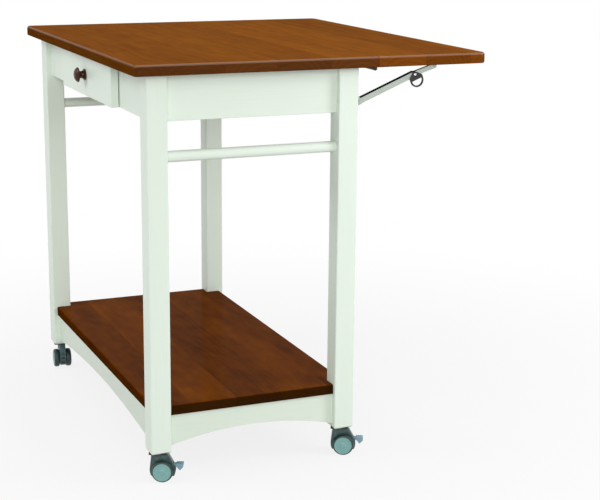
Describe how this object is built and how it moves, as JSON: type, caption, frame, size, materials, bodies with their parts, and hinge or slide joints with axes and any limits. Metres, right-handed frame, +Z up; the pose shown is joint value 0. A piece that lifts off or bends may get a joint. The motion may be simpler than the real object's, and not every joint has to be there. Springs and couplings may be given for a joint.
{
  "type": "kitchen island cart",
  "caption": "Wheeled kitchen island with a stained worktop, a drop leaf on folding brackets, a drawer, towel bars and a low shelf on arched rails.",
  "frame": {"origin": "on the floor under the middle of the worktop with its leaf raised", "axes": "+Z up, +X along the worktop to the right end, -Y out of the drawer front, +Y towards the drop leaf"},
  "size_m": [0.962, 0.814, 0.914],
  "materials": {
    "stained_top": "satin clear coat over brown stain",
    "stained_shelf": "gloss clear coat over brown stain",
    "painted_wood": "satin cream-white paint",
    "plain_wood": "bare pale wood",
    "knob_wood": "dark stained, polished",
    "zinc_steel": "zinc plated",
    "bronze_steel": "dark bronze finish",
    "black_casting": "black satin",
    "black_steel": "black zinc",
    "hood_plastic": "moulded blue-grey",
    "wheel_plastic": "moulded grey-green tread",
    "axle_steel": "bright steel",
    "pedal_plastic": "moulded blue-grey"
  },
  "bodies": {
    "frame": {"main_top": "stained_top", "leg_front_left": "painted_wood", "leg_front_right": "painted_wood", "leg_back_left": "painted_wood", "leg_back_right": "painted_wood", "front_apron": "painted_wood", "back_apron": "painted_wood", "left_apron": "painted_wood", "right_apron": "painted_wood", "front_rail": "painted_wood", "back_rail": "painted_wood", "left_rail": "painted_wood", "right_rail": "painted_wood", "left_towel_bar": "painted_wood", "right_towel_bar": "painted_wood", "shelf": "stained_shelf", "corner_blocks": "plain_wood", "drawer_supports": "plain_wood", "slide_channels": "zinc_steel", "top_hinge_plates": "bronze_steel", "hinge_pins": "bronze_steel", "bracket_bases": "zinc_steel", "base_pivots": "zinc_steel", "caster_plates": "black_steel"},
    "drawer": {"drawer_front": "painted_wood", "drawer_side_left": "plain_wood", "drawer_side_right": "plain_wood", "drawer_back": "plain_wood", "drawer_bottom": "plain_wood", "drawer_knob": "knob_wood", "knob_screw": "zinc_steel", "slide_runners": "zinc_steel"},
    "leaf": {"drop_leaf": "stained_top", "leaf_hinge_plates": "bronze_steel", "bracket_feet": "zinc_steel", "foot_pivots": "zinc_steel"},
    "lower_arm_left": {"lower_arm_left": "zinc_steel", "arm_pull_left": "black_casting"},
    "upper_arm_left": {"upper_arm_left": "zinc_steel"},
    "lower_arm_right": {"lower_arm_right": "zinc_steel", "arm_pull_right": "black_casting"},
    "upper_arm_right": {"upper_arm_right": "zinc_steel"},
    "caster_front_right": {"caster_hood_front_right": "hood_plastic", "caster_axle_front_right": "axle_steel"},
    "wheel_front_right_inner": {"caster_wheel_front_right_inner": "wheel_plastic"},
    "wheel_front_right_outer": {"caster_wheel_front_right_outer": "wheel_plastic"},
    "brake_front_right": {"brake_lever_front_right": "pedal_plastic"},
    "caster_back_right": {"caster_hood_back_right": "hood_plastic", "caster_axle_back_right": "axle_steel"},
    "wheel_back_right_inner": {"caster_wheel_back_right_inner": "wheel_plastic"},
    "wheel_back_right_outer": {"caster_wheel_back_right_outer": "wheel_plastic"},
    "brake_back_right": {"brake_lever_back_right": "pedal_plastic"},
    "caster_front_left": {"caster_hood_front_left": "hood_plastic", "caster_axle_front_left": "axle_steel"},
    "wheel_front_left_inner": {"caster_wheel_front_left_inner": "wheel_plastic"},
    "wheel_front_left_outer": {"caster_wheel_front_left_outer": "wheel_plastic"},
    "caster_back_left": {"caster_hood_back_left": "hood_plastic", "caster_axle_back_left": "axle_steel"},
    "wheel_back_left_inner": {"caster_wheel_back_left_inner": "wheel_plastic"},
    "wheel_back_left_outer": {"caster_wheel_back_left_outer": "wheel_plastic"}
  },
  "joints": [
    {"name": "drawer_slide", "type": "slide", "parent": "frame", "child": "drawer", "axis": [0, -1, 0], "range_m": [0, 0.3]},
    {"name": "leaf_fold", "type": "hinge", "parent": "frame", "child": "leaf", "pos_m": [0, 0.1405, 0.8855], "axis": [-1, 0, 0], "range_deg": [0, 90]},
    {"name": "lower_arm_left_pivot", "type": "hinge", "parent": "frame", "child": "lower_arm_left", "pos_m": [-0.426, 0.119, 0.8116], "axis": [-1, 0, 0], "range_deg": [0, 105.13]},
    {"name": "upper_arm_left_pivot", "type": "hinge", "parent": "leaf", "child": "upper_arm_left", "pos_m": [-0.426, 0.30285, 0.882], "axis": [1, 0, 0], "range_deg": [0, 162.69]},
    {"name": "lower_arm_right_pivot", "type": "hinge", "parent": "frame", "child": "lower_arm_right", "pos_m": [0.426, 0.119, 0.8116], "axis": [-1, 0, 0], "range_deg": [0, 105.13]},
    {"name": "upper_arm_right_pivot", "type": "hinge", "parent": "leaf", "child": "upper_arm_right", "pos_m": [0.426, 0.30285, 0.882], "axis": [1, 0, 0], "range_deg": [0, 162.69]},
    {"name": "caster_front_right_swivel", "type": "hinge", "parent": "frame", "child": "caster_front_right", "pos_m": [0.433, -0.352, 0.0635], "axis": [0, 0, 1], "continuous": true},
    {"name": "wheel_front_right_inner_spin", "type": "hinge", "parent": "caster_front_right", "child": "wheel_front_right_inner", "pos_m": [0.43666, -0.34378, 0.024], "axis": [-0.9135, 0.4067, 0], "continuous": true},
    {"name": "wheel_front_right_outer_spin", "type": "hinge", "parent": "caster_front_right", "child": "wheel_front_right_outer", "pos_m": [0.43666, -0.34378, 0.024], "axis": [-0.9135, 0.4067, 0], "continuous": true},
    {"name": "brake_front_right_press", "type": "hinge", "parent": "caster_front_right", "child": "brake_front_right", "pos_m": [0.44479, -0.32551, 0.032], "axis": [-0.9135, 0.4067, 0], "range_deg": [0, 18]},
    {"name": "caster_back_right_swivel", "type": "hinge", "parent": "frame", "child": "caster_back_right", "pos_m": [0.433, 0.082, 0.0635], "axis": [0, 0, 1], "continuous": true},
    {"name": "wheel_back_right_inner_spin", "type": "hinge", "parent": "caster_back_right", "child": "wheel_back_right_inner", "pos_m": [0.43666, 0.09022, 0.024], "axis": [-0.9135, 0.4067, 0], "continuous": true},
    {"name": "wheel_back_right_outer_spin", "type": "hinge", "parent": "caster_back_right", "child": "wheel_back_right_outer", "pos_m": [0.43666, 0.09022, 0.024], "axis": [-0.9135, 0.4067, 0], "continuous": true},
    {"name": "brake_back_right_press", "type": "hinge", "parent": "caster_back_right", "child": "brake_back_right", "pos_m": [0.44479, 0.10849, 0.032], "axis": [-0.9135, 0.4067, 0], "range_deg": [0, 18]},
    {"name": "caster_front_left_swivel", "type": "hinge", "parent": "frame", "child": "caster_front_left", "pos_m": [-0.433, -0.352, 0.0635], "axis": [0, 0, 1], "continuous": true},
    {"name": "wheel_front_left_inner_spin", "type": "hinge", "parent": "caster_front_left", "child": "wheel_front_left_inner", "pos_m": [-0.42407, -0.3531, 0.024], "axis": [0.1219, 0.9925, 0], "continuous": true},
    {"name": "wheel_front_left_outer_spin", "type": "hinge", "parent": "caster_front_left", "child": "wheel_front_left_outer", "pos_m": [-0.42407, -0.3531, 0.024], "axis": [0.1219, 0.9925, 0], "continuous": true},
    {"name": "caster_back_left_swivel", "type": "hinge", "parent": "frame", "child": "caster_back_left", "pos_m": [-0.433, 0.082, 0.0635], "axis": [0, 0, 1], "continuous": true},
    {"name": "wheel_back_left_inner_spin", "type": "hinge", "parent": "caster_back_left", "child": "wheel_back_left_inner", "pos_m": [-0.42591, 0.08754, 0.024], "axis": [-0.6157, 0.788, 0], "continuous": true},
    {"name": "wheel_back_left_outer_spin", "type": "hinge", "parent": "caster_back_left", "child": "wheel_back_left_outer", "pos_m": [-0.42591, 0.08754, 0.024], "axis": [-0.6157, 0.788, 0], "continuous": true}
  ],
  "couplings": [
    {"joint": "lower_arm_left_pivot", "follows": "leaf_fold", "ratio": 1.1676},
    {"joint": "upper_arm_left_pivot", "follows": "leaf_fold", "ratio": 1.8071},
    {"joint": "lower_arm_right_pivot", "follows": "leaf_fold", "ratio": 1.1676},
    {"joint": "upper_arm_right_pivot", "follows": "leaf_fold", "ratio": 1.8071}
  ]
}
